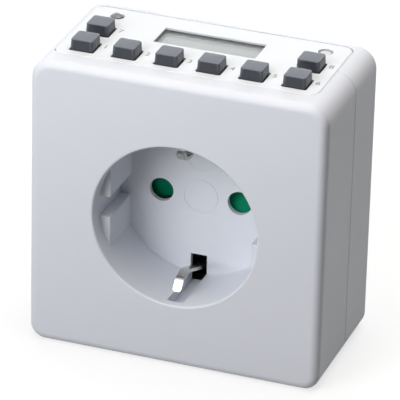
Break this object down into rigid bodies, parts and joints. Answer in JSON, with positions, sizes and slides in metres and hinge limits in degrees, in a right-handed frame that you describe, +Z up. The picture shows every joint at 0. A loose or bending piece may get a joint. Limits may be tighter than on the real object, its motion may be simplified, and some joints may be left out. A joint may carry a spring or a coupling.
{
  "type": "plug-in timer",
  "caption": "Square plug-in digital timer with a recessed earthed socket in front, a key and display panel on top, and a round plug at the back.",
  "frame": {"origin": "middle of the plug's end face, halfway between the two pins", "axes": "+X to the right seen from the front, +Y into the wall along the pins, +Z up"},
  "size_m": [0.0706, 0.072, 0.0737],
  "materials": {
    "white_plastic": "smooth satin, moulded",
    "key_plastic": "fine satin",
    "reset_plastic": "fine satin",
    "lens_plastic": "smoky, smooth",
    "shutter_plastic": "smooth",
    "insulator": "moulded",
    "black_plastic": "moulded",
    "film_case": "moulded",
    "can_sleeve": "shrunk sleeve",
    "resistor_body": "lacquered",
    "cable_jacket": "ribbed",
    "circuit_board": "solder resist",
    "silicone": "moulded",
    "clear_window": "clear, polished",
    "display_glass": "reflective backing",
    "led_resin": "tinted resin",
    "fuse_glass": "clear tube with metal caps",
    "nickel": "nickel plated",
    "brass": "bright rolled",
    "steel": "zinc plated"
  },
  "bodies": {
    "casing": {"backup_cell": "steel", "board_screws": "steel", "casing_screws": "steel", "contact_carrier": "insulator", "contact_left": "brass", "contact_right": "brass", "control_board": "circuit_board", "control_panel": "white_plastic", "controller_chip": "black_plastic", "crystal": "steel", "earth_clip": "nickel", "earth_rivets": "brass", "earth_strap": "brass", "film_capacitor": "film_case", "front_shell": "white_plastic", "fuse": "fuse_glass", "indicator_led": "led_resin", "indicator_lens": "lens_plastic", "keypad_mat": "silicone", "lcd_frame": "insulator", "lcd_glass": "display_glass", "lcd_window": "clear_window", "live_busbar": "brass", "mains_board": "circuit_board", "neutral_busbar": "brass", "plug_body": "white_plastic", "plug_earth_bottom": "nickel", "plug_earth_top": "nickel", "plug_pin_left": "nickel", "plug_pin_right": "nickel", "rear_shell": "white_plastic", "relay": "black_plastic", "resistors": "resistor_body", "ribbon_cable": "cable_jacket", "shutter_spring": "steel", "smoothing_capacitor": "can_sleeve", "switched_busbar": "brass", "zebra_strips": "silicone"},
    "key_1": {"key_1": "key_plastic"},
    "key_2": {"key_2": "key_plastic"},
    "key_3": {"key_3": "key_plastic"},
    "key_4": {"key_4": "key_plastic"},
    "key_5": {"key_5": "key_plastic"},
    "key_6": {"key_6": "key_plastic"},
    "key_7": {"key_7": "key_plastic"},
    "key_8": {"key_8": "key_plastic"},
    "reset_button": {"reset_button": "reset_plastic"},
    "shutter": {"shutter": "shutter_plastic"}
  },
  "joints": [
    {"name": "key_1_press", "type": "slide", "parent": "casing", "child": "key_1", "axis": [0, 0, -1], "range_m": [0, 0.0012], "stiffness_N_per_m": 400, "springref_m": -0.001, "deforming": ["keypad_mat"]},
    {"name": "key_2_press", "type": "slide", "parent": "casing", "child": "key_2", "axis": [0, 0, -1], "range_m": [0, 0.0012], "stiffness_N_per_m": 400, "springref_m": -0.001, "deforming": ["keypad_mat"]},
    {"name": "key_3_press", "type": "slide", "parent": "casing", "child": "key_3", "axis": [0, 0, -1], "range_m": [0, 0.0012], "stiffness_N_per_m": 400, "springref_m": -0.001, "deforming": ["keypad_mat"]},
    {"name": "key_4_press", "type": "slide", "parent": "casing", "child": "key_4", "axis": [0, 0, -1], "range_m": [0, 0.0012], "stiffness_N_per_m": 400, "springref_m": -0.001, "deforming": ["keypad_mat"]},
    {"name": "key_5_press", "type": "slide", "parent": "casing", "child": "key_5", "axis": [0, 0, -1], "range_m": [0, 0.0012], "stiffness_N_per_m": 400, "springref_m": -0.001, "deforming": ["keypad_mat"]},
    {"name": "key_6_press", "type": "slide", "parent": "casing", "child": "key_6", "axis": [0, 0, -1], "range_m": [0, 0.0012], "stiffness_N_per_m": 400, "springref_m": -0.001, "deforming": ["keypad_mat"]},
    {"name": "key_7_press", "type": "slide", "parent": "casing", "child": "key_7", "axis": [0, 0, -1], "range_m": [0, 0.0012], "stiffness_N_per_m": 400, "springref_m": -0.001, "deforming": ["keypad_mat"]},
    {"name": "key_8_press", "type": "slide", "parent": "casing", "child": "key_8", "axis": [0, 0, -1], "range_m": [0, 0.0012], "stiffness_N_per_m": 400, "springref_m": -0.001, "deforming": ["keypad_mat"]},
    {"name": "reset_button_press", "type": "slide", "parent": "casing", "child": "reset_button", "axis": [0, 0, -1], "range_m": [0, 0.0008], "stiffness_N_per_m": 400, "springref_m": -0.001, "deforming": ["keypad_mat"]},
    {"name": "shutter_turn", "type": "hinge", "parent": "casing", "child": "shutter", "pos_m": [0, -0.0324, 0], "axis": [0, 1, 0], "range_deg": [0, 38], "stiffness_Nm_per_rad": 0.002, "springref_deg": -11.46}
  ]
}
